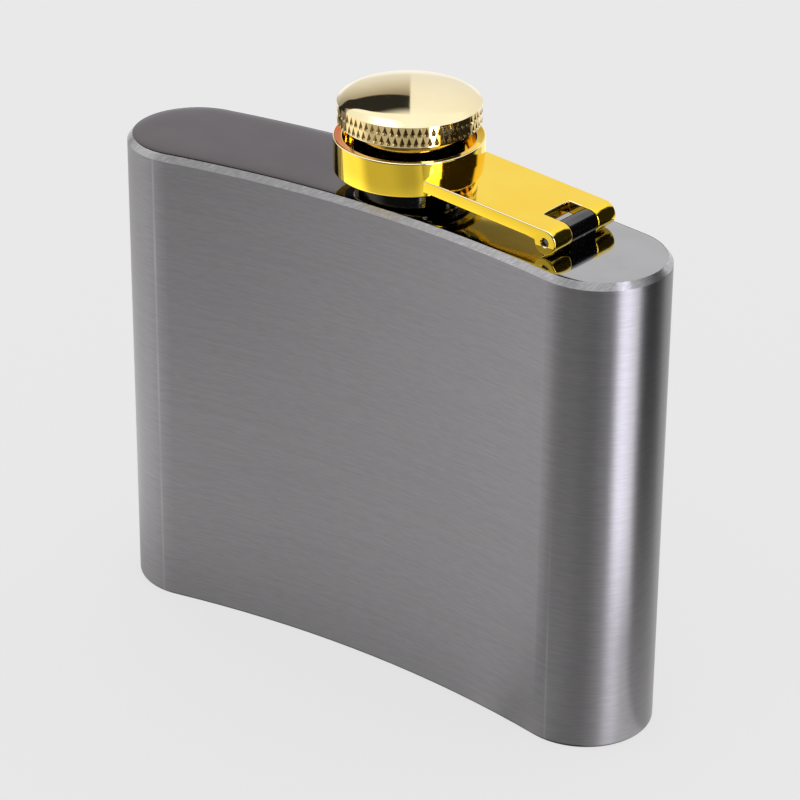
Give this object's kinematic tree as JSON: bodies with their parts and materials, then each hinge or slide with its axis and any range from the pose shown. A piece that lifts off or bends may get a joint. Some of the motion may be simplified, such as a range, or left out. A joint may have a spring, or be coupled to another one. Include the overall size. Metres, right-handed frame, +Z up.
{
  "type": "hip flask",
  "caption": "Curved metal hip flask with a concave front, bevelled rims, and a knurled screw cap held captive in a hinged arm.",
  "frame": {"origin": "centre of the base, midway between the two rounded ends, on the resting plane", "axes": "+Z up towards the cap, +X along the width towards the hinge, +Y towards the convex back"},
  "size_m": [0.092, 0.0245, 0.0898],
  "materials": {
    "brushed_gunmetal": "fine horizontal brushing, gunmetal tint",
    "polished_gunmetal": "mirror polish, gunmetal tint",
    "dark_steel": "turned, darkened",
    "deep_gold": "polished deep gold plating",
    "pale_gold": "polished pale gold plating",
    "insert_plastic": "moulded, natural white",
    "seal_silicone": "translucent white silicone"
  },
  "bodies": {
    "flask": {"body_wrap": "brushed_gunmetal", "top_plate": "polished_gunmetal", "bottom_plate": "brushed_gunmetal", "neck": "dark_steel", "hinge_bracket": "dark_steel"},
    "arm": {"cap_arm": "deep_gold", "hinge_pin": "dark_steel"},
    "cap_carrier": {"retaining_ring": "dark_steel"},
    "cap": {"cap_shell": "pale_gold", "cap_insert": "insert_plastic", "cap_seal": "seal_silicone"}
  },
  "joints": [
    {"name": "arm_hinge", "type": "hinge", "parent": "flask", "child": "arm", "pos_m": [0.03078, 0.00131, 0.07658], "axis": [0.0698, 0.9976, 0], "range_deg": [0, 170]},
    {"name": "cap_lift", "type": "slide", "parent": "arm", "child": "cap_carrier", "axis": [0, 0, 1], "range_m": [-0.0016, 0]},
    {"name": "cap_turn", "type": "hinge", "parent": "cap_carrier", "child": "cap", "pos_m": [0.00085, 0.0034, 0.08298], "axis": [0, 0, 1], "range_deg": [-576, 0]}
  ],
  "couplings": [
    {"joint": "cap_lift", "follows": "cap_turn", "m_per_rad": 0.00015915}
  ]
}
